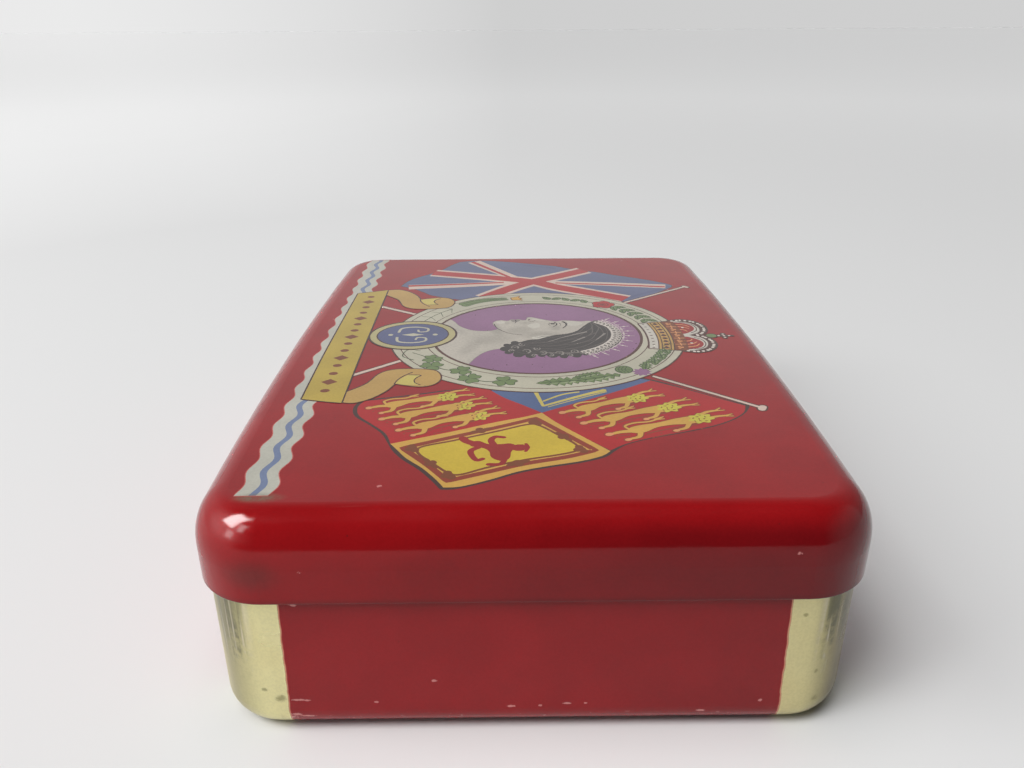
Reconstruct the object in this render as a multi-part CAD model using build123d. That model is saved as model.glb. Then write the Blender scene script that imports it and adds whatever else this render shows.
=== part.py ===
from build123d import *
import math
import os

# A slip-lid tin: a shallow drawn lid over a drawn base, each pressed from one sheet of tinplate.
# Millimetres. +Z is up, +Y runs along the tin's length, and the origin is on the resting plane,
# in the middle of the plan.

# ---- driving dimensions ----
SHEET = 0.3               # tinplate thickness
TIN_HEIGHT = 34.5         # resting plane to the top of the closed lid
TIN_LENGTH = 127.0        # lid, outside, along Y
TIN_WIDTH = 92.2          # lid, outside, along X at mid-length, where the long sides bow out
SIDE_BOW = 1.1            # how far each long side bows beyond its corners
CORNER_RADIUS = 10.3      # lid corners in plan, outside
LID_HEIGHT = 12.1         # lid rim to lid top
SHOULDER_REACH = 5.0      # rounded top edge of the lid, measured inwards
SHOULDER_DROP = 7.0       # the same edge, measured downwards
HEM_HEIGHT = 2.4          # sheet folded back flat inside the lid's rim, as a safe edge
BASE_HEIGHT = 31.2        # the base ends just under the slope of the closed lid's shoulder
BASE_INSET = 0.95         # lid wall's outer face to base wall's outer face
CURL_RADIUS = 0.8         # outside radius of the curl rolled inwards along the base's top edge
CURL_TURN = 285.0         # degrees that the curl rolls through
FOOT_RADIUS = 4.0         # outside radius between the base's wall and its floor

# ---- worked out from them ----
LID_RIM_Z = TIN_HEIGHT - LID_HEIGHT
SHOULDER_Z = TIN_HEIGHT - SHOULDER_DROP
CURL_CENTRE_Z = BASE_HEIGHT - CURL_RADIUS
STRAIGHT_Y = TIN_LENGTH / 2 - CORNER_RADIUS
SIDE_RADIUS = CORNER_RADIUS + (STRAIGHT_Y**2 + SIDE_BOW**2) / (2 * SIDE_BOW)


def plan_outline(inset):
    """Closed plan outline at a distance inside the lid's outer wall, from mid short side and back.

    The long sides are shallow arcs, tangent to the corner arcs; the short sides are straight.
    """
    corner = CORNER_RADIUS - inset
    side = SIDE_RADIUS - inset
    side_centre_x = TIN_WIDTH / 2 - SIDE_RADIUS
    swing = math.degrees(math.asin(STRAIGHT_Y / (side - corner)))
    corner_x = side_centre_x + (side - corner) * math.cos(math.radians(swing))
    end_y = TIN_LENGTH / 2 - inset
    turn = 90 - swing
    return Wire([
        Line((0, -end_y), (corner_x, -end_y)),
        CenterArc((corner_x, -STRAIGHT_Y), corner, -90, turn),
        CenterArc((side_centre_x, 0), side, -swing, 2 * swing),
        CenterArc((corner_x, STRAIGHT_Y), corner, swing, turn),
        Line((corner_x, end_y), (-corner_x, end_y)),
        CenterArc((-corner_x, STRAIGHT_Y), corner, 90, turn),
        CenterArc((-side_centre_x, 0), side, 180 - swing, 2 * swing),
        CenterArc((-corner_x, -STRAIGHT_Y), corner, 180 + swing, turn),
        Line((-corner_x, -end_y), (0, -end_y)),
    ])


def plate(inset, low_z):
    """Flat sheet that fills the plan outline at an inset, with its underside at low_z."""
    return Pos(0, 0, low_z) * extrude(Face(plan_outline(inset)), SHEET, dir=(0, 0, 1))


def swept_wall(section_edges):
    """A closed section, drawn as (inset, height) at mid short side and carried round the plan."""
    section_plane = Plane(origin=(0, -TIN_LENGTH / 2, 0), x_dir=(0, 1, 0), z_dir=(1, 0, 0))
    return sweep(section_plane * Face(Wire(section_edges)), path=plan_outline(0))


def lid_section():
    """Skirt with its flat hem, and the quarter-oval shoulder up to the edge of the top plate."""
    fold_z = LID_RIM_Z + SHEET
    hem_top_z = LID_RIM_Z + HEM_HEIGHT
    centre = (SHOULDER_REACH, SHOULDER_Z)
    outer_reach, outer_drop = SHOULDER_REACH, SHOULDER_DROP
    inner_reach, inner_drop = SHOULDER_REACH - SHEET, SHOULDER_DROP - SHEET
    return [
        Line((0, fold_z), (0, SHOULDER_Z)),
        EllipticalCenterArc(centre, outer_reach, outer_drop, 90, arc_size=90),
        Line((SHOULDER_REACH, TIN_HEIGHT), (SHOULDER_REACH, TIN_HEIGHT - SHEET)),
        EllipticalCenterArc(centre, inner_reach, inner_drop, 90, arc_size=90),
        Line((SHEET, SHOULDER_Z), (SHEET, hem_top_z)),
        CenterArc((1.5 * SHEET, hem_top_z), SHEET / 2, 180, -180),
        Line((2 * SHEET, hem_top_z), (2 * SHEET, fold_z)),
        CenterArc((SHEET, fold_z), SHEET, 0, -180),
    ]


def base_section():
    """Wall from the edge of the floor, round the foot, up to the inward curl along the top."""
    outer, inner = BASE_INSET, BASE_INSET + SHEET
    curl_centre = (BASE_INSET + CURL_RADIUS, CURL_CENTRE_Z)
    curl_bore = CURL_RADIUS - SHEET
    curl_end = 180 - CURL_TURN
    foot_centre = (BASE_INSET + FOOT_RADIUS, FOOT_RADIUS)
    outside = CenterArc(curl_centre, CURL_RADIUS, 180, -CURL_TURN)
    inside = CenterArc(curl_centre, curl_bore, curl_end, CURL_TURN)
    return [
        Line((outer, FOOT_RADIUS), (outer, CURL_CENTRE_Z)),
        outside,
        Line(outside @ 1, inside @ 0),
        inside,
        Line((inner, CURL_CENTRE_Z), (inner, FOOT_RADIUS)),
        CenterArc(foot_centre, FOOT_RADIUS - SHEET, 180, 90),
        Line((foot_centre[0], SHEET), (foot_centre[0], 0)),
        CenterArc(foot_centre, FOOT_RADIUS, 270, -90),
    ]


def lid_shell():
    """The slip lid: top plate, rounded shoulder, skirt and hemmed rim."""
    return swept_wall(lid_section()) + plate(SHOULDER_REACH, TIN_HEIGHT - SHEET)


def base_shell():
    """The base: floor, foot radius, wall and curled top edge."""
    return swept_wall(base_section()) + plate(BASE_INSET + FOOT_RADIUS, 0)


os.makedirs("parts", exist_ok=True)
for build in (base_shell, lid_shell):
    node = build.__name__
    solid = build()
    solid.label = node
    export_step(solid, f"parts/{node}.step")
    print(f"{node}: {len(solid.solids())} solid, {solid.volume:.0f} mm3, valid {solid.is_valid}")
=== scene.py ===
import math
import random

import bpy
from mathutils import Matrix, Vector
from mathutils.geometry import tessellate_polygon


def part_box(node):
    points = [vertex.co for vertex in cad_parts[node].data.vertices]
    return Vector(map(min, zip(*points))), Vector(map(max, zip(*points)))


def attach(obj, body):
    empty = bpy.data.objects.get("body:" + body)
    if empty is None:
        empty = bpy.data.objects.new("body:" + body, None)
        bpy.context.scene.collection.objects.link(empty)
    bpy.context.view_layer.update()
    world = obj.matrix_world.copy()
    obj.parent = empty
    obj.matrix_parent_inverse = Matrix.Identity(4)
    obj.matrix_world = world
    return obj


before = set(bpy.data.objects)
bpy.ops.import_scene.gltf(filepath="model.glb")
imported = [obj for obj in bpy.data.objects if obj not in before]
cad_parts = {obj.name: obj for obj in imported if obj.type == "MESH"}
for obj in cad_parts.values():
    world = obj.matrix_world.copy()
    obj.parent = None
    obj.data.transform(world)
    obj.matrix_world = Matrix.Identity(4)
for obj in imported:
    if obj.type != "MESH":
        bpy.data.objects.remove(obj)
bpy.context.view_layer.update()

MM = 0.001
scene = bpy.context.scene
scene.view_settings.view_transform = "Standard"
for name in ("Cube", "Light", "Camera"):
    if name in bpy.data.objects:
        bpy.data.objects.remove(bpy.data.objects[name])

LID_LOW, LID_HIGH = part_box("lid_shell")
BASE_LOW, BASE_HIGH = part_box("base_shell")
LID_TOP = LID_HIGH.z
LID_RIM = LID_LOW.z


# ------------------------------------------------------------------ camera
EYE = Vector((-3.42, -147.41, 89.08)) * MM
PITCH_DOWN = math.radians(23.5)
YAW = math.radians(0.37)
ROLL = math.radians(-0.345)
LENS_MM = 28.83


def add_camera():
    data = bpy.data.cameras.new("view_camera")
    data.lens = LENS_MM
    data.sensor_width = 36
    data.clip_start = 5 * MM
    camera = bpy.data.objects.new("view_camera", data)
    ahead = Vector((math.sin(YAW) * math.cos(PITCH_DOWN), math.cos(YAW) * math.cos(PITCH_DOWN),
                    -math.sin(PITCH_DOWN)))
    level = Vector((math.cos(YAW), -math.sin(YAW), 0))
    over = level.cross(ahead)
    right = level * math.cos(ROLL) + over * math.sin(ROLL)
    up = over * math.cos(ROLL) - level * math.sin(ROLL)
    turn = Matrix((right, up, -ahead)).transposed().to_4x4()
    camera.matrix_world = Matrix.Translation(EYE) @ turn
    scene.collection.objects.link(camera)
    scene.camera = camera


# ------------------------------------------------------------------ materials
def srgb(red, green, blue):
    """A display colour, 0 to 255, as the linear colour that a shader takes."""
    def linear(c):
        c /= 255
        return c / 12.92 if c <= 0.04045 else ((c + 0.055) / 1.055) ** 2.4

    return (linear(red), linear(green), linear(blue), 1)


class Graph:
    """A material's node tree, with short calls for the nodes used here."""

    def __init__(self, name):
        self.material = bpy.data.materials.new(name)
        self.material.use_nodes = True
        self.tree = self.material.node_tree
        self.shader = self.tree.nodes["Principled BSDF"]
        coords = self.node("TexCoord")
        self.normal = coords.outputs["Normal"]
        self.position = self.scaled(coords.outputs["Object"], (1 / MM,) * 3)

    def node(self, kind, **settings):
        made = self.tree.nodes.new("ShaderNode" + kind)
        for key, value in settings.items():
            setattr(made, key, value)
        return made

    def feed(self, socket, value):
        if isinstance(value, bpy.types.NodeSocket):
            self.tree.links.new(value, socket)
        else:
            socket.default_value = value

    def scaled(self, vector, scale, turn=(0, 0, 0), shift=(0, 0, 0)):
        mapping = self.node("Mapping")
        self.feed(mapping.inputs["Vector"], vector)
        mapping.inputs["Scale"].default_value = scale
        mapping.inputs["Rotation"].default_value = turn
        mapping.inputs["Location"].default_value = shift
        return mapping.outputs["Vector"]

    def math(self, operation, *values, clamp=False):
        made = self.node("Math", operation=operation, use_clamp=clamp)
        for socket, value in zip(made.inputs, values):
            self.feed(socket, value)
        return made.outputs[0]

    def chain(self, operation, values):
        total = values[0]
        for value in values[1:]:
            total = self.math(operation, total, value)
        return total

    def times(self, *values):
        return self.chain("MULTIPLY", values)

    def plus(self, *values):
        return self.chain("ADD", values)

    def most(self, *values):
        return self.chain("MAXIMUM", values)

    def noise(self, size, detail=2.0, rough=0.5, vector=None):
        """Smooth noise with features of about this size in millimetres."""
        made = self.node("TexNoise")
        self.feed(made.inputs["Vector"], vector or self.position)
        made.inputs["Scale"].default_value = 1 / size
        made.inputs["Detail"].default_value = detail
        made.inputs["Roughness"].default_value = rough
        return made.outputs["Fac"]

    def cells(self, size):
        """Distance to the nearest of scattered points, in cell widths."""
        made = self.node("TexVoronoi")
        self.feed(made.inputs["Vector"], self.position)
        made.inputs["Scale"].default_value = 1 / size
        return made.outputs["Distance"]

    def ramp(self, value, low, high, out_low=0.0, out_high=1.0, smooth=True):
        made = self.node("MapRange", interpolation_type="SMOOTHSTEP" if smooth else "LINEAR")
        for socket, item in zip(made.inputs, (value, low, high, out_low, out_high)):
            self.feed(socket, item)
        return made.outputs["Result"]

    def mix(self, factor, first, second, blend="MIX"):
        made = self.node("Mix", data_type="RGBA", blend_type=blend)
        self.feed(made.inputs["Factor"], factor)
        self.feed(made.inputs[6], first)
        self.feed(made.inputs[7], second)
        return made.outputs[2]

    def dot(self, first, second):
        made = self.node("VectorMath", operation="DOT_PRODUCT")
        self.feed(made.inputs[0], first)
        self.feed(made.inputs[1], second)
        return made.outputs["Value"]

    def axes(self):
        made = self.node("SeparateXYZ")
        self.feed(made.inputs[0], self.position)
        return made.outputs

    def spot(self, at, reach, turn=0.0, edge=(0.0, 0.8)):
        """1 at a point, fading to 0 on an ellipsoid about it; turn is in degrees about Z."""
        mapping = self.node("Mapping", vector_type="TEXTURE")
        self.feed(mapping.inputs["Vector"], self.position)
        mapping.inputs["Location"].default_value = at
        mapping.inputs["Rotation"].default_value = (0, 0, math.radians(turn))
        mapping.inputs["Scale"].default_value = reach
        made = self.node("TexGradient", gradient_type="SPHERICAL")
        self.feed(made.inputs["Vector"], mapping.outputs[0])
        return self.ramp(made.outputs["Fac"], *edge)

    def picture_spot(self, at, reach, turn=0.0):
        """A soft spot on the printed picture, placed by its u and v."""
        return self.spot((at[1], -at[0], LID_TOP / MM), (reach[0], reach[1], 50), turn - 90)

    def faces_in(self, middle):
        """1 on the faces of a shell that look towards a point on its middle axis."""
        away = self.node("VectorMath", operation="SUBTRACT")
        self.feed(away.inputs[0], self.position)
        away.inputs[1].default_value = (0, 0, middle)
        return self.ramp(self.dot(self.normal, away.outputs[0]), 0.25, -0.25)


GLOSS = 0.12               # roughness of the varnish
HAIRLINES = ((0.35, 1.0), (1.5, 0.7), (-0.7, 0.8))   # direction in radians, strength
HAIRLINE_TINT = srgb(222, 196, 190)
SPECK_TINT = srgb(52, 30, 30)
SMEAR_TINT = srgb(112, 104, 84)


def end_smudge(g, colour):
    """A soft olive smear over the ribbon's near end."""
    smear = g.picture_spot((57.4, -35.2), (4.2, 1.5), 90)
    ragged = g.ramp(g.noise(0.9, 3, 0.6), 0.3, 0.6, 0.35, 0.75)
    return g.mix(g.times(smear, ragged), colour, SMEAR_TINT)


def hairline_scratches(g):
    """Faint straight scuffs on the lid's top, broken up so that none runs right across."""
    total = 0.0
    for number, (direction, strength) in enumerate(HAIRLINES):
        along = g.scaled(g.position, (0.08, 3.2, 0.5), turn=(0, 0, direction), shift=(number * 7, 0, 0))
        line = g.ramp(g.noise(1, 3, 0.6, along), 0.66, 0.74)
        patch = g.ramp(g.noise(14 + 3 * number, 1), 0.52, 0.7)
        total = g.plus(total, g.times(line, patch, strength))
    on_top = g.ramp(g.axes()[2], LID_TOP / MM - 0.4, LID_TOP / MM - 0.1)
    return g.times(g.math("MINIMUM", total, 1.0), on_top)


def small_chips(g):
    """1 on sparse little knocks in the coating, on every side."""
    ragged = g.plus(g.cells(8), g.ramp(g.noise(0.5, 1), 0.3, 0.7, -0.02, 0.02))
    return g.times(g.ramp(ragged, 0.04, 0.02), g.ramp(g.noise(19, 1), 0.5, 0.56))


def varnish(g, colour, metal=0.0, roughness=GLOSS):
    """The tin's common finish: mottled colour, hairlines, specks and a gently uneven gloss."""
    mottle = g.ramp(g.noise(9, 3), 0.3, 0.7, 0.94, 1.05)
    grain = g.ramp(g.noise(0.35, 2), 0.3, 0.7, 0.96, 1.04)
    colour = g.mix(1.0, colour, g.times(mottle, grain), "MULTIPLY")
    scratches = hairline_scratches(g)
    colour = g.mix(g.times(scratches, 0.05), colour, HAIRLINE_TINT)
    specks = g.times(g.ramp(g.cells(2.3), 0.06, 0.03), g.ramp(g.noise(7, 1), 0.55, 0.62), 0.6)
    g.feed(g.shader.inputs["Base Color"], g.mix(specks, colour, SPECK_TINT))
    haze = g.ramp(g.noise(12, 3), 0.35, 0.75, -0.03, 0.05)
    g.feed(g.shader.inputs["Roughness"], g.plus(haze, roughness, g.times(scratches, 0.1)))
    g.feed(g.shader.inputs["Metallic"], metal)
    swell = g.times(g.noise(17, 1), 0.05)
    orange_peel = g.times(g.noise(1.3, 2), 0.0012)
    bump = g.node("Bump")
    bump.inputs["Strength"].default_value = 1.0
    bump.inputs["Distance"].default_value = MM
    g.feed(bump.inputs["Height"], g.plus(swell, orange_peel))
    g.feed(g.shader.inputs["Normal"], bump.outputs["Normal"])
    g.shader.inputs["IOR"].default_value = 1.36
    return g.material


def ink(name, colour):
    return varnish(Graph(name), srgb(*colour))


def smeared_ink(name, colour):
    g = Graph(name)
    return varnish(g, end_smudge(g, srgb(*colour)))


# ------------------------------------------------------------------ outlines of the printed picture
# The picture stands upright on the lid with u to the right and v up, in millimetres from the
# middle of the lid: u is -Y and v is +X.


def smooth(points, closed=True, steps=7):
    """A smooth (Catmull-Rom) line through points; a point with a third value of 0 is a sharp corner."""
    count = len(points)
    line = []
    spans = count if closed else count - 1
    for i in range(spans):
        here, there = points[i], points[(i + 1) % count]
        before = points[i - 1] if closed or i else here
        after = points[(i + 2) % count] if closed or i + 2 < count else there
        before = here if len(here) == 3 else before
        after = there if len(there) == 3 else after
        for k in range(steps):
            t = k / steps
            weights = (-t + 2 * t * t - t**3, 2 - 5 * t * t + 3 * t**3,
                       t + 4 * t * t - 3 * t**3, t**3 - t * t)
            line.append(tuple(sum(w * p[axis] for w, p in zip(weights, (before, here, there, after))) / 2
                              for axis in (0, 1)))
    if not closed:
        line.append(tuple(points[-1][:2]))
    return line


def ellipse(at, reach_u, reach_v, count=72, start=0.0, turn=2 * math.pi):
    closed = abs(turn) > 6.28
    pieces = count if closed else count - 1
    return [(at[0] + reach_u * math.cos(start + turn * i / pieces),
             at[1] + reach_v * math.sin(start + turn * i / pieces)) for i in range(count)]


def lozenge(at, reach_u, reach_v):
    return ellipse(at, reach_u, reach_v, 4, math.pi)


def normals(line, closed):
    """Unit normals along a line, to the left of its direction."""
    made = []
    count = len(line)
    for i in range(count):
        a = line[(i - 1) % count] if closed or i else line[0]
        b = line[(i + 1) % count] if closed or i + 1 < count else line[-1]
        du, dv = b[0] - a[0], b[1] - a[1]
        size = math.hypot(du, dv) or 1.0
        made.append((-dv / size, du / size))
    return made


def area_of(loop):
    return sum(a[0] * b[1] - b[0] * a[1] for a, b in zip(loop, loop[1:] + loop[:1])) / 2


def grown(loop, distance):
    """The loop moved outwards by a distance."""
    sign = -1 if area_of(loop) > 0 else 1
    return [(p[0] + n[0] * distance * sign, p[1] + n[1] * distance * sign)
            for p, n in zip(loop, normals(loop, True))]


def band(loop, width):
    """An island with a hole: a line of this width along a closed loop."""
    return [grown(loop, width / 2), grown(loop, -width / 2)]


def stroke(points, width, end_width=None, curved=True, cap=5):
    """An island: a pen stroke along an open line, with round ends, tapering to end_width."""
    line = smooth(points, closed=False) if curved else [p[:2] for p in points]
    last = width if end_width is None else end_width
    sides = normals(line, False)
    count = len(line) - 1
    half = [(width + (last - width) * i / count) / 2 for i in range(count + 1)]
    left = [(p[0] + n[0] * h, p[1] + n[1] * h) for p, n, h in zip(line, sides, half)]
    right = [(p[0] - n[0] * h, p[1] - n[1] * h) for p, n, h in zip(line, sides, half)]

    def end(p, n, h, sign):
        start = math.atan2(n[1] * sign, n[0] * sign)
        angles = [start - math.pi * k / cap for k in range(1, cap)]
        return [(p[0] + h * math.cos(angle), p[1] + h * math.sin(angle)) for angle in angles]

    return [left + end(line[-1], sides[-1], half[-1], 1) + right[::-1] + end(line[0], sides[0], half[0], -1)]


def moved(loop, at=(0, 0), turn=0.0, size=1.0):
    """A loop turned by degrees, resized and carried to a place."""
    c, s = math.cos(math.radians(turn)) * size, math.sin(math.radians(turn)) * size
    return [(at[0] + p[0] * c - p[1] * s, at[1] + p[0] * s + p[1] * c) + tuple(p[2:]) for p in loop]


def mirrored(loop, about):
    return [(2 * about - p[0], p[1]) + tuple(p[2:]) for p in loop[::-1]]


# ------------------------------------------------------------------ printed films
INK_STEP = 0.002 * MM      # how far one level of ink stands above the level below
INK_SINK = 0.04 * MM       # how far a film reaches down into the lid's sheet
TIE_STEP = 0.00004 * MM    # between overlapping marks of one pass


def film(name, islands, level, material):
    """A printed pass: closed thin islands of ink on the lid's flat top, each an outline and its holes."""
    vertices, faces = [], []
    for number, island in enumerate(islands):
        high = LID_TOP + level * INK_STEP + number * TIE_STEP
        low = LID_TOP - INK_SINK - number * TIE_STEP
        first = len(vertices)
        loops = [loop if (area_of(loop) > 0) == (i == 0) else loop[::-1] for i, loop in enumerate(island)]
        flat = [p for loop in loops for p in loop]
        total = len(flat)
        vertices += [(v * MM, -u * MM, high) for u, v in flat]
        vertices += [(v * MM, -u * MM, low) for u, v in flat]
        for a, b, c in tessellate_polygon([[Vector((u, v, 0)) for u, v in loop] for loop in loops]):
            corner, second, third = flat[a], flat[b], flat[c]
            across = (second[0] - corner[0]) * (third[1] - corner[1])
            if across - (second[1] - corner[1]) * (third[0] - corner[0]) < 0:
                b, c = c, b                                # so that every triangle faces up
            faces.append((first + a, first + b, first + c))
            faces.append((first + total + c, first + total + b, first + total + a))
        offset = first
        for loop in loops:
            count = len(loop)
            for i in range(count):
                j = (i + 1) % count
                faces.append((offset + i, offset + total + i, offset + total + j, offset + j))
            offset += count
    mesh = bpy.data.meshes.new(name)
    mesh.from_pydata(vertices, [], faces)
    mesh.validate()
    piece = bpy.data.objects.new(name, mesh)
    scene.collection.objects.link(piece)
    mesh.materials.append(material)
    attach(piece, "lid")


def solid(*loops):
    """Each closed loop as its own island."""
    return [[loop] for loop in loops]


# ------------------------------------------------------------------ inks
INKS = {
    "cream": ((186, 181, 161), "print_cream"),
    "ribbon": ((186, 184, 172), "print_cream"),
    "yellow": ((202, 174, 58), "print_yellow"),
    "gold": ((204, 158, 74), "print_yellow"),
    "banner": ((182, 157, 68), "print_yellow"),
    "tan": ((184, 148, 84), "print_yellow"),
    "straw": ((198, 180, 96), "print_yellow"),
    "rim_gold": ((178, 168, 122), "print_yellow"),
    "olive": ((198, 186, 70), "print_yellow"),
    "blue": ((80, 97, 136), "print_blue"),
    "dull_blue": ((92, 98, 130), "print_blue"),
    "pale_blue": ((114, 127, 158), "print_blue"),
    "deep_blue": ((86, 91, 126), "print_blue"),
    "blush": ((190, 96, 90), "print_red"),
    "green": ((108, 126, 80), "print_green"),
    "dark_green": ((66, 80, 54), "print_green"),
    "light_green": ((150, 160, 122), "print_green"),
    "violet": ((143, 102, 135), "print_violet"),
    "red": ((170, 32, 34), "print_red"),
    "maroon": ((150, 38, 34), "print_red"),
    "russet": ((140, 58, 38), "print_red"),
    "pink_gold": ((214, 148, 96), "print_yellow"),
    "white": ((214, 204, 194), "print_cream"),
    "pole": ((208, 184, 170), "print_cream"),
    "brown": ((122, 66, 38), "print_dark"),
    "umber": ((84, 52, 44), "print_dark"),
    "key": ((70, 46, 42), "print_dark"),
    "hair": ((62, 56, 54), "print_dark"),
    "dark_grey": ((100, 92, 88), "print_grey"),
    "grey": ((142, 134, 128), "print_grey"),
    "pale": ((196, 190, 178), "print_grey"),
}
materials = {name: ink("ink_" + name, colour) for name, (colour, _) in INKS.items()}
materials["ribbon"] = smeared_ink("ink_ribbon", INKS["ribbon"][0])
materials["pale_blue"] = smeared_ink("ink_pale_blue", INKS["pale_blue"][0])


def printed(name, islands, level, ink_name):
    film(name, islands, level, materials[ink_name])


# ------------------------------------------------------------------ ribbon along the lower edge
RIBBON_ENDS = (-58.4, 56.9)
RIBBON_WAVE = 7.0
RIBBON_CREST = 33.2
RIBBON_STEPS = 164


def wave_line(middle, swing):
    """A gently waving line from one end of the ribbon to the other."""
    start, end = RIBBON_ENDS
    places = [start + (end - start) * i / RIBBON_STEPS for i in range(RIBBON_STEPS + 1)]
    return [(u, middle + swing * math.cos(2 * math.pi * (u - RIBBON_CREST) / RIBBON_WAVE)) for u in places]


def ribbon():
    low, high = wave_line(-38.15, 0.36), wave_line(-33.75, 0.44)
    printed("ribbon_fringe", solid(grown(low + high[::-1], 0.14)), 0.6, "blush")
    printed("ribbon", solid(low + high[::-1]), 1, "ribbon")
    stripe = wave_line(-36.25, 0.45) + wave_line(-35.3, 0.45)[::-1]
    printed("ribbon_stripe", solid(stripe), 2, "pale_blue")


# ------------------------------------------------------------------ far flag: crosses on blue
def crossed_flag():
    field = smooth([
        (-32.8, 34.2, 0), (-28.6, 30.2), (-25.2, 25.8), (-22.4, 21.6), (-20, 14), (-21, 0), (-24, -12),
        (-27.6, -19.4), (-30, -21.7), (-33, -24.4), (-35.2, -27.6, 0), (-39, -26.4), (-42, -24.6),
        (-45, -21.8), (-48, -19.4), (-53, -17), (-56, -15, 0), (-57.2, -10), (-56, -4), (-54, 2),
        (-51.4, 8.8, 0), (-48.9, 12.2), (-46.8, 15.6), (-45.6, 18.6), (-43, 22.4), (-41, 26),
        (-38.4, 30), (-36.4, 32.6), (-34.4, 34.4)])
    printed("crossed_flag_line", solid(grown(field, 0.2)), 0.6, "umber")
    printed("crossed_flag", solid(field), 1, "dull_blue")
    shade = [stroke([(-33.0, 33.4), (-30.0, 29.8), (-26.6, 25.2), (-24.0, 22.4)], 1.4, 0.5),
             stroke([(-49.6, 8.4), (-52.0, 3.0), (-54.4, -3.0)], 0.9, 0.3)]
    printed("crossed_flag_shade", shade, 1.5, "deep_blue")
    rising = [(-47.4, 15.6), (-43.2, 10.0), (-38.0, 2.8), (-32.5, -2.9), (-26.0, -8.2)]
    level = [(-24.2, 22.6), (-29.5, 14.5), (-33.6, 8.1), (-38.0, 2.8), (-41.4, -6), (-44, -14),
             (-46.1, -21.0)]
    white = [
        stroke([(-37.6, 5.5), (-35.6, 20), (-33.4, 33.0)], 2.4, 3.0, cap=1),
        stroke([(-40.4, -1.0), (-48.5, -6.4), (-56.2, -11.6)], 2.6, 3.6, cap=1),
        stroke([(-37.4, -1.5), (-35.6, -14), (-34.4, -25.8)], 2.6, 3.6, cap=1),
        stroke(rising, 5.6, 5.4, cap=1),
        stroke(level, 5.6, cap=1),
    ]
    printed("crossed_flag_white", white, 2, "pole")
    red = [
        stroke([(-36.9, 8.0), (-35.1, 21), (-33.1, 32.8)], 0.7, 1.0, cap=1),
        stroke([(-41.6, -2.4), (-48.9, -7.2), (-56.0, -11.9)], 0.8, 1.2, cap=1),
        stroke([(-37.6, -4.0), (-36.3, -15), (-35.3, -26.0)], 0.8, 1.2, cap=1),
        stroke(rising, 3.5, 3.4, cap=1),
        stroke(level, 3.7, 3.5, cap=1),
    ]
    printed("crossed_flag_red", red, 3, "red")


# ------------------------------------------------------------------ near flag: quartered
QUARTER_MEET = (33.1, 1.9, 0)
BEAST_LENGTH = 15.0        # from head to hind paw, as the beast is drawn
MANE_POINTS = 56
MANE_WAVES = 7
MANE_LOCKS = 9
LOCK_TURN = 2.4            # radians, the golden angle, which spreads the locks evenly


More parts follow.
